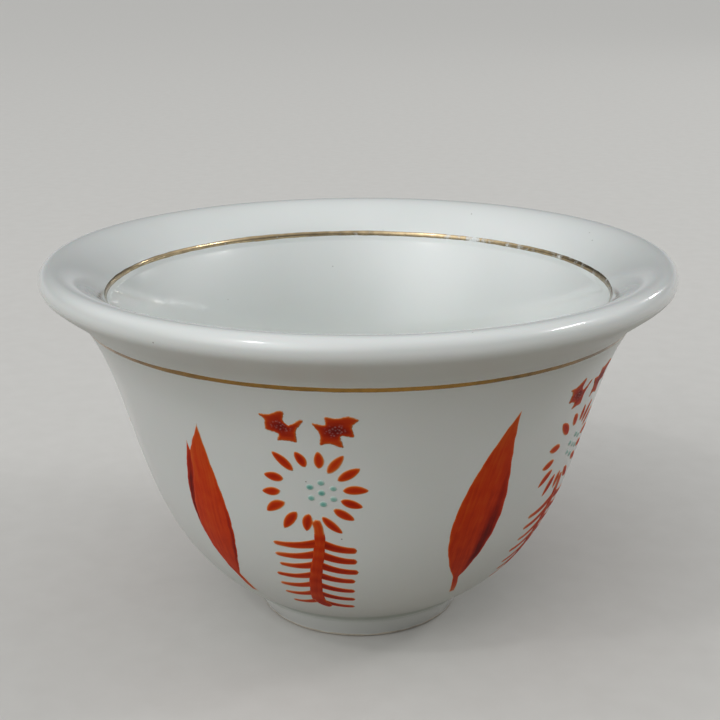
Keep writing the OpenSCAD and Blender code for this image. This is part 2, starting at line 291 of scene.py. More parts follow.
face_colour, face_normal = glazed(tree, pool_and_shade)
thin = ranged(facing_up, *THIN_FACING)
thin.node.interpolation_type = "SMOOTHSTEP"
feed(surface, Base_Color=face_colour, Normal=face_normal,
     Coat_Weight=ranged(thin, 0, 1, 1, THIN_COAT),
     Roughness=ranged(thin, 0, 1, GLAZE_ROUGHNESS, THIN_ROUGHNESS))
bowl.data.materials.append(bowl_glaze)
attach(bowl, "root")
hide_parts("cup_body")

# The foot ring is turned from the same clay and luted on under the bowl. The glaze runs over the
# joint in a small hollow and is wiped off the face that stands in the kiln, so that stays bare.
FOOT_EDGE_STEPS, OUTER_STEPS, INNER_STEPS = 8, 13, 9
INNER_INTO_BOWL, TOP_INTO_BOWL, TOP_INSETS = 0.05, 0.2, (0.4, 0.3)
GLAZE_END, GLAZE_END_STRAYS, GLAZE_END_SOFT = 0.42 * MM, (0.75, 1.25), (-0.04 * MM, 0.06 * MM)
RUN_SCALE, CLOUD_MIDDLE, BARE_ROUGHNESS = 420, (0.3, 0.7), 0.85
STAIN_SCALE, GRIT_SCALE, GRIT_RELIEF = 240, 2600, 0.05 * MM
STAIN_SPAN, STAIN_DEPTH, GRIT_SPAN, GRIT_DEPTH = (0.5, 0.75), 0.7, (0.35, 0.8), 0.25
BARE_CLAY = (214, 205, 190)
KILN_GREY = (150, 140, 126)
outer_edge = arc([FOOT_R - FOOT_EDGE_R, FOOT_EDGE_R], FOOT_EDGE_R, -90, 0, FOOT_EDGE_STEPS)
inner_edge = arc([RECESS_R + FOOT_EDGE_R, FOOT_EDGE_R], FOOT_EDGE_R, -180, -90, FOOT_EDGE_STEPS)
up_side = np.linspace(outer_edge[-1], foot_top, OUTER_STEPS + 1)[1:]
down_side = np.linspace([RECESS_R, FOOT_H + INNER_INTO_BOWL], inner_edge[0], INNER_STEPS + 1)
hidden_top = [[FOOT_TOP_R - TOP_INSETS[0], FOOT_H + TOP_INTO_BOWL],
              [RECESS_R + TOP_INSETS[1], FOOT_H + TOP_INTO_BOWL]]
foot_section = np.vstack([inner_edge, outer_edge, up_side, hidden_top, down_side[:-1]])
points, faces = swept_round(np.repeat(foot_section[None], FACES_ROUND, 0))
foot = new_mesh("turned_foot", fired(points), faces)

foot_glaze, tree, surface = new_material(
    "glazed foot with a bare standing face", IOR=1.5, Coat_Roughness=0.25)
coords = place_on(tree)
height = part_of(coords, "Z")
strays = [GLAZE_END * share for share in GLAZE_END_STRAYS]
line = ranged(clouded(coords, RUN_SCALE, 2), *CLOUD_MIDDLE, *strays)
bare = ranged(reckoned("SUBTRACT", height, line), *GLAZE_END_SOFT, 1, 0)
# Near the joint the foot's glaze takes the pool colour: the glaze's green, with painted shade in the
# crease.
face_colour, face_normal = glazed(tree, ranged(height, *JOINT_LOW))
grit = clouded(coords, GRIT_SCALE, 4)
stains = ranged(clouded(coords, STAIN_SCALE, 3), *STAIN_SPAN, 0, STAIN_DEPTH)
clay = mixed(stains, colour(BARE_CLAY), colour(KILN_GREY))
clay = mixed(ranged(grit, *GRIT_SPAN, 0, GRIT_DEPTH), clay, colour(KILN_GREY))
bare_normal = add(tree, "Bump", {"Height": grit, "Distance": GRIT_RELIEF, "Strength": bare,
                                 "Normal": face_normal})
feed(surface, Base_Color=mixed(bare, face_colour, clay), Normal=bare_normal.outputs[0],
     Coat_Weight=ranged(bare, 0, 1, 1, 0),
     Roughness=ranged(bare, 0, 1, GLAZE_ROUGHNESS, BARE_ROUGHNESS))
foot.data.materials.append(foot_glaze)
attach(foot, "root")
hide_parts("foot_ring")

# The outer gold line is liquid gold, banded on with a brush while the cup turned on a wheel, and
# fired again. It is thin, a little uneven in width, and doubled where the brush met its start.
OUTER_GOLD_W, GOLD_T, GOLD_SINK, GOLD_EDGE_SINK = 0.65, 0.02, 0.03, 0.2
OUTER_OVERLAP, OVERLAP_SPREAD, OVERLAP_WIDENS, OVERLAP_THICKENS = 238, 0.09, (0.16, 0.05), 0.5
GOLD_WAVER, WAVES_EACH, GOLD_COLUMNS = [(3, 0.035), (11, 0.03), (37, 0.02)], 3, 6
OUTER_GOLD_TONES, OUTER_GOLD_WEAR = ((70, 56, 30), (154, 116, 56)), (0.0, 0.04)


def uneven(angle, sizes, seed):
    """A smooth value round the cup that wanders by about one size for each band of waves."""
    draw = np.random.default_rng(seed)
    value = np.zeros_like(angle)
    for waves, size in sizes:
        for k in range(WAVES_EACH):
            count, start = draw.integers(waves, 2 * waves), draw.uniform(0, 2 * math.pi)
            value += size * np.sin(count * angle + start) / 2
    return value


def run_along(line):
    """How far along a line of points each of them lies."""
    return np.concatenate([[0], np.cumsum(np.linalg.norm(np.diff(line, axis=0), axis=1))])


def lifted(line, at, lift):
    """The points that lie so far along a line, moved off it to its right."""
    run, out = run_along(line), aside(line)
    return np.stack([np.interp(at, run, line[:, k]) + lift * np.interp(at, run, out[:, k])
                     for k in (0, 1)], -1)


def banded(name, line, start, width, overlap, seed):
    """A brushed line round the cup, centred on one point of a section line."""
    middle = run_along(line)[np.argmin(np.linalg.norm(line - start, axis=1))]
    angle = np.linspace(0, 2 * math.pi, 2 * FACES_ROUND, endpoint=False)
    near = np.exp(-((angle - math.radians(overlap)) / OVERLAP_SPREAD) ** 2)
    above, below = (width * (0.5 + uneven(angle, GOLD_WAVER, seed + k) + wider * near)[:, None]
                    for k, wider in enumerate(OVERLAP_WIDENS))
    across = np.cos(np.linspace(math.pi, 0, GOLD_COLUMNS + 1))
    at = middle + np.where(across < 0, across * below, across * above)
    dome = np.sqrt(np.clip(1 - across ** 2, 0, 1)) * (1 + OVERLAP_THICKENS * near[:, None])
    face = lifted(line, at, GOLD_T * (dome - GOLD_EDGE_SINK))
    back = lifted(line, at[:, -2:0:-1], -GOLD_SINK)
    points, faces = swept_round(np.concatenate([face, back], 1))
    return new_mesh(name, fired(points), faces)


outer_gold = banded("outer_gold_band", outside, throat, OUTER_GOLD_W, OUTER_OVERLAP, seed=5)

# What both gold lines show: the brush left thin places where the white comes through, and the
# metal is browner there.
THIN_SCALE, WORN_SCALE, WORN_SHARE, TONE_SCALE = 900, 130, 0.6, 45
FULL_SPAN, FULL_SHARE, TONE_SPAN, TONE_SHARE = (0.4, 0.9), 0.6, (0.35, 0.65), 0.5
GOLD_COVERS, GOLD_ROUGHNESS, GOLD_SIDES = (0.32, 0.54), (0.26, 0.12), (-20 * MM, 30 * MM)
gold_wear, given, result = new_group(
    "banded gold", [("Place", "Vector"), ("Wear", "Float")],
    [("Gold", "Float"), ("Tone", "Float"), ("Roughness", "Float")])
place = given["Place"]
thin = clouded(place, THIN_SCALE, 4)
both = reckoned("MULTIPLY_ADD", clouded(place, WORN_SCALE, 2), WORN_SHARE, thin)
left = reckoned("SUBTRACT", both, given["Wear"])
full = ranged(left, *FULL_SPAN, 0, FULL_SHARE)
patch = ranged(clouded(place, TONE_SCALE, 1), *TONE_SPAN, 0, TONE_SHARE)
tone = reckoned("ADD", full, patch, clamp=True)
feed(result, Gold=ranged(left, *GOLD_COVERS), Tone=tone,
     Roughness=ranged(thin, *CLOUD_MIDDLE, *GOLD_ROUGHNESS))


def gold(name, tones, wear):
    """Fired gold, from its thin colour to its full one, worn more on one side of the cup."""
    made, tree, surface = new_material(name, IOR=1.5)
    coords = place_on(tree)
    wearing = ranged(part_of(coords, "X"), *GOLD_SIDES, *wear)
    face = add(tree, "Group", {"Place": coords, "Wear": wearing}, node_tree=gold_wear).outputs
    metal = mixed(face["Tone"], *(colour(tone) for tone in tones))
    feed(surface, Base_Color=mixed(face["Gold"], colour(GLAZE_WHITE), metal),
         Metallic=face["Gold"], Roughness=face["Roughness"])
    return made


outer_gold.data.materials.append(gold("outer banding gold", OUTER_GOLD_TONES, OUTER_GOLD_WEAR))
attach(outer_gold, "root")
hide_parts("outer_gold_line")

# The inner gold line is banded inside, where the slope of the lip meets the bowl. Lips and
# washing have thinned it on one side.
INNER_GOLD_W, INNER_OVERLAP = 0.72, 118
INNER_GOLD_TONES, INNER_GOLD_WEAR = ((114, 98, 74), (210, 188, 150)), (0.08, 0.23)
inner_gold = banded("inner_gold_band", inside, mouth, INNER_GOLD_W, INNER_OVERLAP, seed=11)
inner_gold.data.materials.append(gold("inner banding gold", INNER_GOLD_TONES, INNER_GOLD_WEAR))
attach(inner_gold, "root")
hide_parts("inner_gold_line")

# The feathers are each one or two long strokes of iron-red enamel, drawn up from the quill with a
# loaded brush: streaked along their length, thin and orange at the tip, and thick and dark
# along the edge where the colour ran. Three of the five are forked, from a second stroke.
ENAMEL_T, ENAMEL_SINK, DAB_SINK, DAB_SOFT = 0.05, 0.035, 0.006, 0.1
FEATHER_FOOT, FEATHER_H, FEATHER_W, QUILL_W, TIP_W = 8.9, 24.7, 6.4, 0.8, 0.06
FEATHER_ROOT, FEATHER_TIP, QUILL_FOOT = (-0.04, 0.12), (0.72, 1.012), (0.24, -0.005)
RIGHT_EDGE = [(1.66, 0.51), (0.79, 0.61)]
LEFT_EDGE = [(-1.4, 0.36), (-1.36, 0.58)]
FORK_EDGE, FORK_TIP, FORK_NOTCH = [(-1.42, 0.46), (-0.98, 0.62)], (-0.13, 0.9), (-0.12, 0.845)
SLIVER_START, SLIVER_BACK, SLIVER_W, SLIVER_PULLS = 0.24, 6, 0.5, (5.5, 5)
SLIVER_LAPS, FEATHER_THICKS = (0.3, 0.35, 0.12), (1, 1.6)
EDGE_STEPS, SEAM_STEPS, TIP_STEPS, FEATHER_STEPS = 60, 40, 8, 84
FEATHER_COLUMNS, FEATHER_SEEDS = 24, (0, 5)
FEATHER_WAVER, FEATHER_WAVES, DABS_APART = 0.05, (3.1, 2.7), (3.7, 0)
HAND_WAVES, HAND_STARTS, HAND_SIZES = (1, 2, 3.3), (0, 6.3), (0.4, 1)
# Where the colour ran in a stroke: its place across it and its width, how dark it is, how far along
# it ends, and whether the stroke lies over another.
WHOLE_RUN = (0.7, 0.3, 0.36, 0.85, 0)
SLIVER_RUN, COVERING_RUN = (-0.1, 1.2, 0.32, 1.4, 0), (0.93, 0.13, 0.33, 0.8, 1)
# Each feather's turn round the cup and its tilt, its shares of the width, height and rise, and
# whether it is forked.
FEATHERS = [(-38.3, 0, 0.88, 0.95, -0.02, True), (29, -0.5, 1, 1, 0, False),
            (97.5, -1.5, 0.93, 0.97, 0.01, True), (171, 1.5, 0.97, 0.98, -0.01, False),
            (243.5, -1, 0.9, 0.96, 0.01, True)]
wall_out = aside(wall)


def laid_on_wall(flat, lift, turn):
    """Flat points, x across and y up from the table, laid on the wall as seen from one turn."""
    across, rise = flat[..., 0], flat[..., 1]
    at = [np.interp(rise, wall[:, 1], side) for side in (wall[:, 0], wall_out[:, 0], wall_out[:, 1])]
    radius = at[0] + lift * at[1]
    deep = np.sqrt(radius ** 2 - across ** 2)
    side, front = math.cos(math.radians(turn)), math.sin(math.radians(turn))
    return fired(np.stack([across * side + deep * front, across * front - deep * side,
                           rise + lift * at[2]], -1))


def by_hand(line, size, wave, seed):
    """A line that wavers sideways as a hand does, but keeps its two ends."""
    draw = np.random.default_rng(seed)
    run = run_along(line)
    value = sum(np.sin(run / wave * k * 2 * math.pi + draw.uniform(*HAND_STARTS))
                * draw.uniform(*HAND_SIZES) / k for k in HAND_WAVES)
    fade = np.clip(np.minimum(run, run[-1] - run) / wave, 0, 1)
    return line + (size * value * fade)[:, None] * aside(line)


def spread(line, steps):
    """A line of points put at even steps along its length."""
    run = run_along(line)
    at = np.linspace(0, run[-1], steps + 1)
    return np.column_stack([np.interp(at, run, line[:, k]) for k in (0, 1)])


def off_edge(flat, outline):
    """How far each point lies from an outline."""
    near = np.full(len(flat), np.inf)
    for start, way in zip(outline, np.roll(outline, -1, 0) - outline):
        share = np.clip((flat - start) @ way / max(way @ way, 1e-12), 0, 1)
        near = np.minimum(near, np.linalg.norm(flat - start - share[:, None] * way, axis=1))
    return near


def dab(left, right, columns, load, thick=1):
    """One dab of enamel between its two edges: a low dome, with its rim in the glaze, of so many
    times the usual thickness. load is how much colour lies at a share along, a side across from
    -1 to 1, and a distance off the edge."""
    share = (1 - np.cos(np.linspace(0, math.pi, columns + 1))) / 2
    flat = (left[:, None] + (right - left)[:, None] * share[None, :, None]).reshape(-1, 2)
    order = np.arange(len(flat)).reshape(len(left), columns + 1)
    depth = off_edge(flat, np.vstack([left, right[::-1]])).reshape(order.shape)
    depth[0], depth[-1], depth[:, 0], depth[:, -1] = 0, 0, 0, 0
    along = np.repeat(np.linspace(0, 1, len(left))[:, None], columns + 1, 1)
    across = np.repeat(2 * share[None] - 1, len(left), 0)
    run = np.repeat(run_along((left + right) / 2)[:, None], columns + 1, 1)
    width = np.linalg.norm(right - left, axis=1)[:, None]
    corners = [order[:-1, :-1], order[:-1, 1:], order[1:, 1:], order[1:, :-1]]
    return {"flat": flat, "faces": np.stack(corners, -1).reshape(-1, 4),
            "inner": order[1:-1, 1:-1].ravel(),
            "lift": (thick * ENAMEL_T * np.tanh(depth / DAB_SOFT) - DAB_SINK).ravel(),
            "load": np.broadcast_to(load(along, across, depth), depth.shape).ravel(),
            "grain": np.stack([run, across * width / 2], -1).reshape(-1, 2)}


def turned_by(points, degrees):
    """Flat points turned about the middle."""
    a = math.radians(degrees)
    return points @ np.array([[math.cos(a), math.sin(a)], [-math.sin(a), math.cos(a)]])


def painted(name, dabs, turn, tilt, foot_height, apart=DABS_APART):
    """The dabs of one motif as one thin closed piece on the wall, with its colour's load and grain.
    apart is how far each dab's grain lies from the others', by its number and by its first point."""
    points, faces, loads, grains, start = [], [], [], [], 0
    for number, one in enumerate(dabs):
        flat, inner = turned_by(one["flat"], tilt) + [0, foot_height], one["inner"]
        under = np.arange(len(flat))
        under[inner] = len(flat) + np.arange(len(inner))
        points += [laid_on_wall(flat, one["lift"], turn), laid_on_wall(flat[inner], -ENAMEL_SINK, turn)]
        faces += (one["faces"] + start).tolist() + (under[one["faces"]][:, ::-1] + start).tolist()
        away = np.full(len(flat), apart[0] * number + apart[1] * start)
        grain = np.column_stack([one["grain"], away])
        loads += [one["load"], one["load"][inner]]
        grains += [grain, grain[inner]]
        start += len(flat) + len(inner)
    made = new_mesh(name, np.vstack(points), faces)
    for label, kind, field, values in (("load", "FLOAT", "value", np.concatenate(loads)),
                                       ("grain", "FLOAT_VECTOR", "vector", np.vstack(grains))):
        kept = made.data.attributes.new(label, kind, "POINT")
        kept.data.foreach_set(field, values.astype(np.float32).ravel())
    return made


# What every stroke of enamel shows: hairs of the brush drew fine streaks along it, and the colour
# lies in soft clouds where it was wetter.
STREAK_STRETCH, STREAK_ROUGHNESS, WET_SCALE, WET_SHARE, STREAK_MIDDLE = 0.16, 0.6, 0.55, 0.6, 0.8
brush_streaks, given, result = new_group(
    "brush streaks", [("Load", "Float"), ("Grain", "Vector"), ("Hairs", "Float"), ("Depth", "Float")],
    [("Load", "Float"), ("Height", "Float")])
split = add(brush_streaks, "SeparateXYZ", {0: given["Grain"]}).outputs
fine = reckoned("MULTIPLY", split["Y"], given["Hairs"])
slow = reckoned("MULTIPLY", split["X"], STREAK_STRETCH)
hair_place = add(brush_streaks, "CombineXYZ", {0: slow, 1: fine, 2: split["Z"]}).outputs[0]
hairs = add(brush_streaks, "TexNoise", {"Vector": hair_place, "Scale": 1, "Detail": 3,
                                        "Roughness": STREAK_ROUGHNESS}).outputs[0]
wet = clouded(given["Grain"], WET_SCALE, 2)
both = reckoned("MULTIPLY_ADD", wet, WET_SHARE, hairs)
off_middle = reckoned("SUBTRACT", both, STREAK_MIDDLE)
streaked = reckoned("MULTIPLY_ADD", off_middle, given["Depth"], given["Load"], clamp=True)
feed(result, Load=streaked, Height=hairs)
ENAMEL_ROUGHNESS, STREAK_RELIEF, STREAK_STRENGTH = (0.38, 0.55), 0.03 * MM, 0.6


def enamel(name, ramp, hairs, depth):
    """Overglaze enamel, from its colour where it is thin to its colour where it is thick."""
    made, tree, surface = new_material(name, IOR=1.45, Specular_IOR_Level=0.14)
    strokes = add(tree, "Group", {
        "Load": add(tree, "Attribute", attribute_name="load").outputs["Fac"],
        "Grain": add(tree, "Attribute", attribute_name="grain").outputs["Vector"],
        "Hairs": hairs, "Depth": depth}, node_tree=brush_streaks).outputs
    tones = add(tree, "ValToRGB", {0: strokes["Load"]})
    stops = tones.color_ramp.elements
    for k, (share, tone) in enumerate(ramp):
        stop = stops[k] if k < 2 else stops.new(share)
        stop.position = share
        stop.color = colour(tone)
    bump = {"Height": strokes["Height"], "Distance": STREAK_RELIEF, "Strength": STREAK_STRENGTH}
    feed(surface, Base_Color=tones.outputs["Color"], Normal=add(tree, "Bump", bump).outputs[0],
         Roughness=ranged(strokes["Load"], 0, 1, *ENAMEL_ROUGHNESS))
    return made, tree, surface


FEATHER_REDS = [(0.0, (226, 208, 192)), (0.12, (222, 138, 76)), (0.28, (214, 86, 18)),
                (0.5, (204, 56, 6)), (0.7, (168, 34, 6)), (0.86, (112, 16, 8)), (1.0, (72, 10, 10))]
FEATHER_LOAD, FEATHER_THIN_EDGE, TIP_THINS, QUILL_THINS, LOW_GAIN = 0.47, 0.12, 0.16, 0.36, 0.06
# Shares of a feather's length, from where each of these starts to where it is full.
TIP_SPAN, QUILL_SPAN, LOW_SPAN = (0.72, 1), (0.09, 0), (0.7, 0.2)
RUN_SPAN, RUN_LENGTH, COVER_LOW, COVER_HIGH = (0.1, 0.25), 0.45, (0.15, 0.25), (0.88, 0.85)
feather_enamel = enamel("iron-red feather enamel", FEATHER_REDS, hairs=2.3, depth=0.42)[0]


def rising(value, low, high):
    """0 on the low side of a span, 1 on its high side, and even between them."""
    return np.clip((value - low) / (high - low), 0, 1)


def feather_load(run_place, run_width, dark, run_end, over):
    """Thin at its edges and tip, and dark along where the colour ran. Where the stroke lies over
    another, its left edge isn't thin."""
    def load(along, across, depth):
        covers = over * (across < 0) * rising(along, *COVER_LOW) * rising(along, *COVER_HIGH)
        body = FEATHER_LOAD * np.maximum(np.tanh(depth / FEATHER_THIN_EDGE), covers)
        lean = np.exp(-((across - run_place) / run_width) ** 2)
        ran = dark * lean * rising(along, run_end, run_end - RUN_LENGTH) * rising(along, *RUN_SPAN)
        thinner = TIP_THINS * rising(along, *TIP_SPAN) + QUILL_THINS * rising(along, *QUILL_SPAN)
        return body + ran - thinner + LOW_GAIN * rising(along, *LOW_SPAN)

    return load


def forked_strokes(left, right, end, notch, tip):
    """A sliver of a stroke that ends short of the tip, and a whole one that lies over it."""
    meeting = int(len(left) * SLIVER_START)
    low, seam_way = left[meeting], left[meeting + 1] - left[meeting - 1]
    seam_way = seam_way / np.linalg.norm(seam_way)
    seam = curve([low, low + SLIVER_PULLS[0] * seam_way + [SLIVER_W, 0],
                  notch - [SLIVER_W, SLIVER_PULLS[1]], notch], SEAM_STEPS)
    to_tip = np.linspace(notch, tip, TIP_STEPS + 1)[1:]
    to_end = curve([notch + [SLIVER_LAPS[2], 0], notch, end, end], TIP_STEPS)[1:]
    sliver_left = left[meeting - SLIVER_BACK:]
    sliver_right = np.vstack([sliver_left[0] + [SLIVER_LAPS[0], 0], seam + [SLIVER_LAPS[1], 0], to_end])
    return [(sliver_left, sliver_right, SLIVER_RUN),
            (np.vstack([left[:meeting], seam, to_tip]), right, COVERING_RUN)]


for number, (turn, tilt, wide, tall, rise, forked) in enumerate(FEATHERS):
    scale = np.array([wide * FEATHER_W / 2, tall * FEATHER_H])
    root, tip, quill = FEATHER_ROOT * scale, FEATHER_TIP * scale, QUILL_FOOT * scale
    half, tip_half = np.array([QUILL_W / 2, 0]), np.array([TIP_W / 2, 0])
    right = curve([root + half, RIGHT_EDGE[0] * scale, RIGHT_EDGE[1] * scale, tip], EDGE_STEPS)
    edge, end = (FORK_EDGE, FORK_TIP * scale) if forked else (LEFT_EDGE, tip)
    left = curve([root - half, edge[0] * scale, edge[1] * scale, end], EDGE_STEPS)
    strokes = [(left, right, WHOLE_RUN)]
    if forked:
        strokes = forked_strokes(left, right, end, FORK_NOTCH * scale, tip)
    dabs = []
    for k, (*sides, run) in enumerate(strokes):
        if k == len(strokes) - 1:
            sides = [np.vstack([quill + off, side]) for off, side in zip((-half, half), sides)]
        edges = [by_hand(spread(side, FEATHER_STEPS), FEATHER_WAVER, wave, 10 * number + k + seed)
                 for side, wave, seed in zip(sides, FEATHER_WAVES, FEATHER_SEEDS)]
        edges[0][-1] -= tip_half
        edges[1][-1] += tip_half
        thick = FEATHER_THICKS[k]
        dabs.append(dab(*edges, FEATHER_COLUMNS, feather_load(*run), thick))
    foot_height = FEATHER_FOOT + rise * FEATHER_H
    feather = painted(f"painted_feather_{number + 1}", dabs, turn, tilt, foot_height)
    feather.data.materials.append(feather_enamel)
    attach(feather, "root")
    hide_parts(f"feather_{number + 1}")

# The petals stand in a ring of fourteen on each flower, in the same iron-red enamel. Each is one
# touch of a small pointed brush, pressed down and lifted, and fullest near its outer end.
FLOWER_FOOT, FLOWER_W, FLOWER_H = 7.7, 10.4, 27.8
# Each flower's turn round the cup and its tilt, in degrees.
FLOWERS = [(-9.5, 0), (63, 6), (134, 1.5), (207, -2), (275, 2)]
flower_scale = np.array([FLOWER_W, FLOWER_H])
RING_HALF, RING_CENTRE = flower_scale * [0.425, 0.16], flower_scale * [-0.013, 0.645]
PETAL_L, PETAL_W, PETAL_GROWTH, PETAL_SHAPE, PETAL_SOFT = 2.6, 1.05, (1.03, 1.1), (0.88, 0.62), 0.01
PETAL_END, PETAL_STEPS, PETAL_COLUMNS, PETAL_STRAY, PETAL_SEED = 0.001, 18, 9, 0.05, 40
PETAL_LOADS, PETAL_THIN_EDGE, PETAL_LEAN = (0.7, 0.08), 0.28, 0.1
# Each petal's place on the ring and its lean from it, in degrees, its reach, and its length.
PETALS = [(130, 4, 1.05, 1.15), (105, 13, 0.93, 0.8), (78, 11, 0.93, 0.82), (54, -2, 0.99, 1.1),
          (31, 2, 1.02, 1.08), (4, -4, 1.01, 1.02), (-19, -2, 0.95, 0.92), (-42, 8, 0.94, 0.97),
          (-67, 20, 1.03, 1.12), (-102, 2, 0.93, 0.92), (-125, 2, 1.08, 1.1), (-151, 6, 1.09, 1),
          (-175, 4, 1.03, 0.8), (160, 11, 0.99, 0.82)]
PETAL_REDS = [(0.0, (226, 212, 198)), (0.14, (226, 156, 96)), (0.32, (216, 92, 26)),
              (0.55, (204, 56, 8)), (0.8, (170, 32, 6)), (1.0, (120, 18, 8))]
petal_enamel = enamel("iron-red petal enamel", PETAL_REDS, hairs=2.4, depth=0.3)[0]


def on_ring(degrees, reach):
    """How far a point lies from the middle of the petals' ring, at a share of its reach."""
    a = math.radians(degrees)
    return reach * RING_HALF * [math.cos(a), math.sin(a)]


def dabbed_load(amount):
    """Thin over the edge of a short dab, and a little fuller towards its end."""
    return lambda along, across, depth: (amount * np.tanh(depth / PETAL_THIN_EDGE)
                                         + PETAL_LEAN * (along - 0.5))


for number, place in enumerate(FLOWERS):
    draw = np.random.default_rng(PETAL_SEED + number)
    dabs = []
    for turn, lean, reach, long in PETALS:
        t = np.linspace(PETAL_END, 1 - PETAL_END, PETAL_STEPS + 1)
        outline = np.sin(math.pi * t ** PETAL_SHAPE[0]) ** PETAL_SHAPE[1]
        half_width = PETAL_GROWTH[1] * PETAL_W / 2 * outline
        bend = PETAL_STRAY * draw.normal() * np.sin(math.pi * t)
        middle_line = np.column_stack([PETAL_GROWTH[0] * long * PETAL_L * (t - 0.5), bend])
        edges = []
        for side in (1, -1):
            off = side * (half_width * (1 + PETAL_STRAY * draw.normal()) + PETAL_SOFT)
            edge = middle_line + np.column_stack([0 * t, off])
            edges.append(turned_by(edge, turn + lean) + RING_CENTRE + on_ring(turn, reach))
        load = dabbed_load(PETAL_LOADS[0] + PETAL_LOADS[1] * draw.normal())
        dabs.append(dab(edges[1], edges[0], PETAL_COLUMNS, load))
    petals = painted(f"painted_petals_{number + 1}", dabs, *place, FLOWER_FOOT)
    petals.data.materials.append(petal_enamel)
    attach(petals, "root")
    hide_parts(f"petals_{number + 1}")

# The dots are seven drops of turquoise enamel in the middle of each flower, six round one. The
# enamel is dropped on thick from the tip of the brush, so each dot stands higher than a petal.
DOTS_CENTRE = flower_scale * [0.08, 0.64]
DOTS_REACH, DOT_R, DOT_THICK, DOT_GROWTH, DOT_OVAL = 0.31, 0.325, 1.6, (1.12, 0.06), 1.08
DOT_RING, DOT_STRAY, DOT_LOADS, DOT_SEED = 6, 0.05, (0.78, 0.1), 60
DOT_END, DOT_STEPS, DOT_COLUMNS = 0.02, 14, 10
DOT_BLUES = [(0.0, (214, 224, 219)), (0.35, (160, 204, 193)), (0.7, (112, 176, 165)),
             (1.0, (76, 142, 134))]
dot_enamel = enamel("turquoise enamel", DOT_BLUES, hairs=2, depth=0.25)[0]
for number, place in enumerate(FLOWERS):
    draw = np.random.default_rng(DOT_SEED + number)
    dabs = []
    for k in range(DOT_RING + 1):
        centre = DOTS_CENTRE + on_ring(90 + 360 / DOT_RING * k, DOTS_REACH if k < DOT_RING else 0)
        centre = centre + DOT_STRAY * draw.normal(size=2)
        size = DOT_R * (DOT_GROWTH[0] + DOT_GROWTH[1] * draw.normal())
        t = np.linspace(DOT_END, math.pi - DOT_END, DOT_STEPS + 1)
        edges = [centre + size * np.column_stack([-DOT_OVAL * np.cos(t), side * np.sin(t)])
                 for side in (-1, 1)]
        load = dabbed_load(DOT_LOADS[0] + DOT_LOADS[1] * draw.normal())
        dabs.append(dab(*edges, DOT_COLUMNS, load, DOT_THICK))
    dots = painted(f"painted_dots_{number + 1}", dabs, *place, FLOWER_FOOT)
    dots.data.materials.append(dot_enamel)
    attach(dots, "root")
    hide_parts(f"dots_{number + 1}")

# The stem is one stroke drawn down to the foot, with seven leaflets flicked out on each side: dark
# where they cross the stem and pale where the brush left the wall.
STEM_LINE = [(-0.02, 0.515), (0.11, 0.4), (-0.15, 0.24), (-0.1, 0.05)]
STEM_HOOK = [(-0.102, 0.08), (-0.085, 0.03), (0.03, 0.022)]
STEM_BRIDGE = np.array([(-0.072, 0.502), (0.005, 0.495)])
STEM_W, STEM_FOOT_W, BRIDGE_W = 0.95, 1.45, 0.62
LEAFLET_W, LEAFLET_LOW_SHARE, LEAFLET_FIRST, LEAFLET_STEP = 1.2, 0.65, 0.06, 0.057
LEAFLETS = [(-0.42, 0.29), (-0.475, 0.3), (-0.51, 0.325), (-0.51, 0.345), (-0.485, 0.375),
            (-0.49, 0.375), (-0.5, 0.4)]
# For the leaflets on the left and on the right: how far their tips droop and their middles sag, the
# share of their width at the tip, their load, what each row over them adds to it, and its fade.
LEAFLET_SIDES = [(0.023, 0.35, 0.45, 0.66, 0, 0.26), (0.036, 0.1, 0.65, 0.78, 0.02, 0.16)]
LEAFLET_STRAY, LEAFLET_FADE_STRAY, LEAFLET_THIN_EDGE = (0.12, 0.06), 0.06, 0.2
SOFT_EDGE, BLUNT, LEAFLET_SEED, STEM_SEED = 0.06, 0.02, 80, 90
STEM_STEPS, STEM_COLUMNS, STEM_ROUNDS, STEM_THICK = 44, 12, 0.02, 1.5
HOOK_STEPS, HOOK_COLUMNS, HOOK_ROUNDS, HOOK_THICK, HOOK_LOAD = 20, 9, 0.12, 1.6, (0.72, 0.2)
BRIDGE_STEPS, BRIDGE_COLUMNS, BRIDGE_ROUNDS, BRIDGE_LOAD = 12, 7, 0.2, (0.5, 0.16)
LEAFLET_STEPS, LEAFLET_COLUMNS, LEAFLET_ROUNDS, LEAFLET_THICK = 22, 7, 0.06, 0.8
STEM_WAVER, STEM_WAVE, STEM_THIN_EDGE, CROSSING_W = 0.03, 2.4, 0.2, 0.035
STEM_LOAD, STEM_CROSSED, STEM_FOOT_GAIN, STEM_LOW, STEM_LOW_LOAD = 0.44, 0.12, 0.1, 0.05, 0.8
STEM_REDS = [(0.0, (226, 210, 196)), (0.14, (222, 148, 92)), (0.32, (212, 86, 26)),
             (0.55, (198, 54, 8)), (0.8, (160, 30, 6)), (1.0, (108, 16, 8))]
stem_enamel = enamel("iron-red stem enamel", STEM_REDS, hairs=2.2, depth=0.35)[0]
stem_top, stem_low = STEM_LINE[0][1], STEM_LINE[-1][1]
crossings = [(stem_top - LEAFLET_FIRST - row * LEAFLET_STEP) / (stem_top - stem_low)
             for row in range(len(LEAFLETS))]


def stem_load(along, across, depth):
    """Thicker where the leaflets cross under the stem, and towards its foot."""
    crossed = np.clip(sum(np.exp(-((along - at) / CROSSING_W) ** 2) for at in crossings), 0, 1)
    edge = np.tanh(depth / STEM_THIN_EDGE)
    edge = np.where(along < crossings[-1] - STEM_LOW, edge, STEM_LOW_LOAD + (1 - STEM_LOW_LOAD) * edge)
    full = STEM_LOAD + STEM_CROSSED * crossed + STEM_FOOT_GAIN * along
    return full * (crossed + (1 - crossed) * edge)


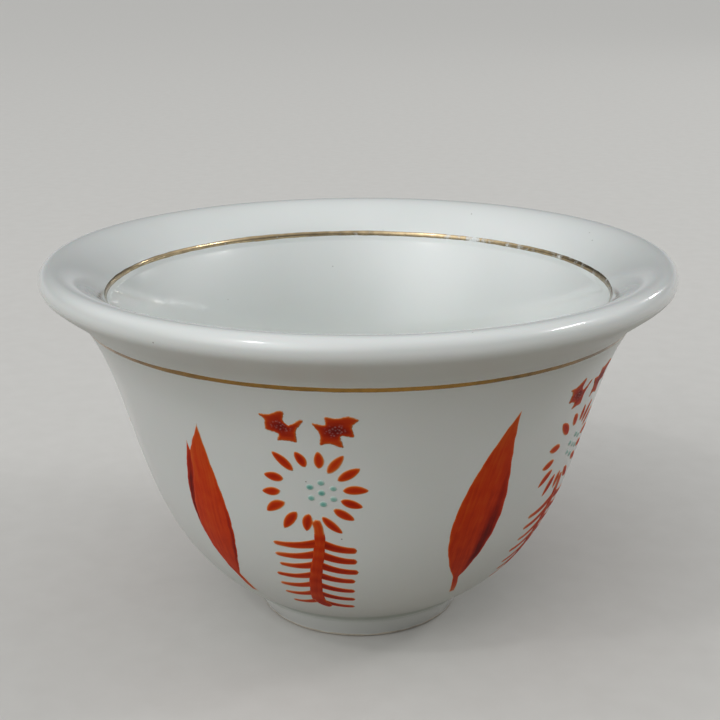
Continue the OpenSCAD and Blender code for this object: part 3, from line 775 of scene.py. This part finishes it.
def flicked_load(full, thin_edge, fade=0):
    """Thin over its edge, and fading towards its end where the brush left the wall."""
    return lambda along, across, depth: (full - fade * along ** 2) * np.tanh(depth / thin_edge)


def bent(start, handle, end, steps):
    """Points along a curve with one handle between its ends."""
    return curve([start, start + (handle - start) * 2 / 3, end + (handle - end) * 2 / 3, end], steps)


def drawn(line, start_width, end_width, rounds):
    """The two edges of a stroke along a line, rounded over a share of its length at each end."""
    t = np.linspace(0, 1, len(line))
    ends = np.sqrt(np.clip(np.minimum(t, 1 - t) / rounds, BLUNT, 1))
    half = (start_width + (end_width - start_width) * t) * ends / 2
    return line - half[:, None] * aside(line), line + half[:, None] * aside(line)


for number, place in enumerate(FLOWERS):
    draw = np.random.default_rng(LEAFLET_SEED + number)
    stem_line = curve(np.array(STEM_LINE) * flower_scale, STEM_STEPS)
    edges = drawn(stem_line, STEM_W + 2 * SOFT_EDGE, STEM_FOOT_W + 2 * SOFT_EDGE, STEM_ROUNDS)
    edges = [by_hand(edge, STEM_WAVER, STEM_WAVE, STEM_SEED + 3 * number + k)
             for k, edge in enumerate(edges)]
    dabs = [dab(*edges, STEM_COLUMNS, stem_load, STEM_THICK)]
    hook = bent(*np.array(STEM_HOOK) * flower_scale, HOOK_STEPS)
    edges = drawn(hook, STEM_FOOT_W + SOFT_EDGE, STEM_W + SOFT_EDGE, HOOK_ROUNDS)
    dabs.append(dab(*edges, HOOK_COLUMNS, flicked_load(*HOOK_LOAD), HOOK_THICK))
    start, end = STEM_BRIDGE * flower_scale
    bridge = curve([start, (start + end) / 2, (start + end) / 2, end], BRIDGE_STEPS)
    edges = drawn(bridge, BRIDGE_W, BRIDGE_W, BRIDGE_ROUNDS)
    dabs.append(dab(*edges, BRIDGE_COLUMNS, flicked_load(*BRIDGE_LOAD)))
    for row, reaches in enumerate(LEAFLETS):
        height, rows_over = LEAFLET_FIRST + row * LEAFLET_STEP, len(LEAFLETS) - 1 - row
        rise = height * FLOWER_H
        root = np.array([np.interp(rise, stem_line[::-1, 1], stem_line[::-1, 0]), rise])
        width = LEAFLET_W * (LEAFLET_LOW_SHARE + (1 - LEAFLET_LOW_SHARE) * row / (len(LEAFLETS) - 1))
        for reach, (droop, sag, tip_share, full, gain, fade) in zip(reaches, LEAFLET_SIDES):
            tip = np.array([reach, height - droop]) * flower_scale
            tip = tip + draw.normal(size=2) * LEAFLET_STRAY
            handle = np.array([(root[0] + tip[0]) / 2, tip[1] - sag])
            edges = drawn(bent(root, handle, tip, LEAFLET_STEPS), width + 2 * SOFT_EDGE,
                          width * tip_share + 2 * SOFT_EDGE, LEAFLET_ROUNDS)
            fade = fade + LEAFLET_FADE_STRAY * draw.normal()
            load = flicked_load(full + gain * rows_over, LEAFLET_THIN_EDGE, fade)
            dabs.append(dab(*edges, LEAFLET_COLUMNS, load, LEAFLET_THICK))
    stem = painted(f"painted_stem_{number + 1}", dabs, *place, FLOWER_FOOT)
    stem.data.materials.append(stem_enamel)
    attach(stem, "root")
    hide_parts(f"stem_{number + 1}")

# The buds are two ragged stars over each flower. Their middle was dabbed on thick, and the enamel
# boiled there in the kiln, so that it is dark and freckled with pale pits.
LEFT_BUD = [(-0.508, 0.981), (-0.386, 0.978), (-0.262, 1.003), (-0.223, 0.994), (-0.248, 0.955),
            (-0.198, 0.936), (-0.075, 0.97), (-0.038, 0.962), (-0.134, 0.917), (-0.122, 0.862),
            (-0.236, 0.87), (-0.341, 0.866), (-0.299, 0.899), (-0.444, 0.911), (-0.429, 0.956)]
RIGHT_BUD = [(0.504, 0.974), (0.416, 0.943), (0.443, 0.892), (0.295, 0.905), (0.339, 0.843),
             (0.189, 0.869), (0.094, 0.854), (0.113, 0.908), (0.023, 0.959), (0.179, 0.945),
             (0.157, 0.987), (0.288, 0.978), (0.395, 0.992)]
BUD_ROUNDING, BUD_CORNER_STEPS, BUD_GROWTH, BUD_STRAY, BUD_SEED = 0.26, 5, 0.05, 0.02, 120
BUD_NET, NET_ROWS, NET_OFF_EDGE, NET_TOUCH, STARS_APART = 0.14, 0.87, 0.6, 1e-6, (0, 5.3)
BUD_LOAD, BUD_THIN_EDGE, BUD_MIDDLE_EDGE, BUD_MIDDLE = 0.46, 0.2, 0.3, (1.3, 0.9)
PIT_SCALE, PIT_SPAN, PIT_DEPTH, PITTED_LOAD = 3400, (0.1, 0.5), 0.34, (0.6, 0.74)
PIT_PINK = (206, 176, 176)
BUD_REDS = [(0.0, (226, 210, 196)), (0.14, (222, 146, 84)), (0.3, (210, 86, 22)), (0.5, (192, 52, 10)),
            (0.75, (150, 28, 10)), (1.0, (104, 18, 14))]
bud_enamel, tree, surface = enamel("iron-red bud enamel", BUD_REDS, hairs=2, depth=0.35)
pits = add(tree, "TexVoronoi", {"Vector": place_on(tree), "Scale": PIT_SCALE})
boiled = ranged(add(tree, "Attribute", attribute_name="load").outputs["Fac"], *PITTED_LOAD)
pitted = reckoned("MULTIPLY", ranged(pits.outputs["Distance"], *PIT_SPAN, PIT_DEPTH, 0), boiled)
plain = surface.inputs["Base Color"].links[0].from_socket
feed(surface, Base_Color=mixed(pitted, plain, colour(PIT_PINK)))


def star(corners, seed):
    """The rounded outline of a ragged star, as close points."""
    draw = np.random.default_rng(seed)
    corners = np.array(corners) * flower_scale
    edge = np.vstack([bent(b + BUD_ROUNDING * (a - b), b, b + BUD_ROUNDING * (c - b), BUD_CORNER_STEPS)
                      for a, b, c in zip(np.roll(corners, 1, 0), corners, np.roll(corners, -1, 0))])
    edge = np.vstack([edge, edge[:1]])
    edge = spread(edge, int(run_along(edge)[-1] / BUD_NET))[:-1]
    out = edge - corners.mean(0)
    out = out / np.linalg.norm(out, axis=1, keepdims=True)
    return edge + BUD_GROWTH * out + BUD_STRAY * draw.normal(size=edge.shape)


def star_dab(edge):
    """One dab of enamel in a star, filled with an even net, with most colour in its middle."""
    low, high = edge.min(0), edge.max(0)
    rows = enumerate(np.arange(low[1], high[1], BUD_NET * NET_ROWS))
    net = np.array([(x + (k % 2) * BUD_NET / 2, z) for k, z in rows
                    for x in np.arange(low[0], high[0], BUD_NET)])
    net = net[off_edge(net, edge) > NET_OFF_EDGE * BUD_NET]
    corners, rim = [Vector(p) for p in np.vstack([edge, net])], len(edge)
    found = delaunay_2d_cdt(corners, [], [list(range(rim))], 1, NET_TOUCH)
    flat = np.array([tuple(p) for p in found[0]])
    depth = off_edge(flat, edge)
    depth[:rim] = 0
    middle = np.exp(-(np.linalg.norm((flat - edge.mean(0)) / BUD_MIDDLE, axis=1)) ** 2)
    load = np.tanh(depth / BUD_THIN_EDGE) + middle * np.tanh(depth / BUD_MIDDLE_EDGE)
    return {"flat": flat, "faces": np.array(found[2]), "inner": np.arange(rim, len(flat)),
            "lift": ENAMEL_T * np.tanh(depth / DAB_SOFT) - DAB_SINK, "load": BUD_LOAD * load,
            "grain": flat}


for number, place in enumerate(FLOWERS):
    dabs = [star_dab(star(corners, BUD_SEED + 2 * number + k))
            for k, corners in enumerate((LEFT_BUD, RIGHT_BUD))]
    buds = painted(f"painted_buds_{number + 1}", dabs, *place, FLOWER_FOOT, STARS_APART)
    buds.data.materials.append(bud_enamel)
    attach(buds, "root")
    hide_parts(f"buds_{number + 1}")

# The table top is a plain pale matt sheet, far larger than the view, so that no edge of it shows.
# What it throws back on the cup is dimmer and warmer than the sheet itself.
TABLE_SIZE, TABLE_SCALE, TABLE_DEPTH = 40.0, 240, 0.05
TABLE_COLOUR = (214, 212, 208)
TABLE_BOUNCE = (136, 130, 118)
table_points = np.array([[-1, -1, 0], [1, -1, 0], [1, 1, 0], [-1, 1, 0]]) * TABLE_SIZE / 2 / MM
table_top = new_mesh("table_top", table_points, [(0, 1, 2, 3)])
table_matt, tree, surface = new_material("pale matt table top", Roughness=0.75, Specular_IOR_Level=0.2)


def shown(tree):
    """1 for the rays from the camera, off a gloss and through glass, and 0 for all others."""
    path = add(tree, "LightPath").outputs
    seen = reckoned("MAXIMUM", path["Is Camera Ray"], path["Is Glossy Ray"])
    return reckoned("MAXIMUM", seen, path["Is Transmission Ray"])


mottling = clouded(place_on(tree), TABLE_SCALE, 2)
mottling = ranged(mottling, *CLOUD_MIDDLE, 0, TABLE_DEPTH)
sheet = mixed(mottling, colour(TABLE_COLOUR), colour(TABLE_BOUNCE))
feed(surface, Base_Color=mixed(shown(tree), colour(TABLE_BOUNCE), sheet))
table_top.data.materials.append(table_matt)

# The light is that of a pale room: a broad soft window in front and to the left, two dimmer ones
# at the far left and at the right, and the ceiling. Three small lamps put the bright marks on the
# inner gold line.
soft_window, given, result = new_group(
    "soft window", [("Way", "Vector"), ("Toward", "Vector"), ("Breadth", "Float"), ("Light", "Float")],
    [("Light", "Float")])
toward = add(soft_window, "VectorMath", {0: given["Way"], 1: given["Toward"]},
             operation="DOT_PRODUCT").outputs["Value"]
away = reckoned("DIVIDE", reckoned("SUBTRACT", toward, 1), given["Breadth"])
glow = reckoned("EXPONENT", away)
feed(result, Light=reckoned("MULTIPLY", glow, given["Light"]))
ROOM_DARK, ROOM_TINT = 0.05, (0.985, 1.0, 1.01, 1)
BACKDROP, BACKDROP_TOP = (0.6, 0.15), 0.2
# Each window's turn from the camera's side and its height, in degrees, its breadth and its light.
WINDOWS = [(-40, 34, 0.14, 2.05), (-108, 42, 0.1, 0.6), (95, 33, 0.12, 0.85), (0, 90, 0.25, 0.62)]
world = bpy.data.worlds.new("pale room")
bpy.context.scene.world = world
world.use_nodes = True
room = world.node_tree
coords = add(room, "TexCoord").outputs["Generated"]
way = add(room, "VectorMath", {0: coords}, operation="NORMALIZE").outputs[0]
light = ROOM_DARK
for turn, height, breadth, strength in WINDOWS:
    turn, height = math.radians(turn), math.radians(height)
    toward = (math.sin(turn) * math.cos(height), -math.cos(turn) * math.cos(height), math.sin(height))
    window = add(room, "Group", {"Way": way, "Toward": toward, "Breadth": breadth, "Light": strength},
                 node_tree=soft_window)
    light = reckoned("ADD", window.outputs["Light"], light)
background = room.nodes["Background"]
background.inputs["Color"].default_value = ROOM_TINT
backdrop = ranged(part_of(way, "Z"), 0, BACKDROP_TOP, *BACKDROP)
backdrop = reckoned("MULTIPLY", shown(room), backdrop)
feed(background, Strength=reckoned("MAXIMUM", light, backdrop))

# Each lamp's name, place and size in metres, and power.
LAMPS = [("right_glint", (0.908, 0.01, 0.8), (0.3, 0.05), 1.4),
         ("far_glint", (0.8, 0.757, 0.481), (0.08, 0.04), 0.45),
         ("left_glint", (-0.538, -0.543, 0.943), (0.08, 0.06), 0.8)]
LAMPS_AIM = (0, 0, 0.02)
for name, spot, size, power in LAMPS:
    lamp = bpy.data.lights.new(name, "AREA")
    lamp.shape, (lamp.size, lamp.size_y), lamp.energy = "RECTANGLE", size, power
    holder = bpy.data.objects.new(name, lamp)
    holder.location = spot
    holder.rotation_euler = (Vector(LAMPS_AIM) - Vector(spot)).to_track_quat("-Z", "Y").to_euler()
    bpy.context.scene.collection.objects.link(holder)

# The camera stands 15 cm from the middle of the cup and 3 cm higher than its rim, and looks down
# on it a little. Its places are in metres and its angles in radians.
LENS, SENSOR = 62.5, 36
LOOK_AT = Vector((0.00016, 0, 0.03124))
PITCH, DISTANCE, ROLL, NEAREST = 0.3056, 0.1539, 0.0021, 0.005
camera = bpy.data.objects.new("camera", bpy.data.cameras.new("camera"))
camera.data.lens, camera.data.sensor_width, camera.data.sensor_fit = LENS, SENSOR, "HORIZONTAL"
camera.data.clip_start = NEAREST
camera.location = LOOK_AT + DISTANCE * Vector((0, -math.cos(PITCH), math.sin(PITCH)))
facing = (LOOK_AT - camera.location).to_track_quat("-Z", "Y").to_matrix().to_4x4()
camera.rotation_euler = (facing @ Matrix.Rotation(-ROLL, 4, "Z")).to_euler()
bpy.context.scene.collection.objects.link(camera)
bpy.context.scene.camera = camera
bpy.context.scene.view_settings.view_transform = "Standard"

bpy.context.view_layer.update()
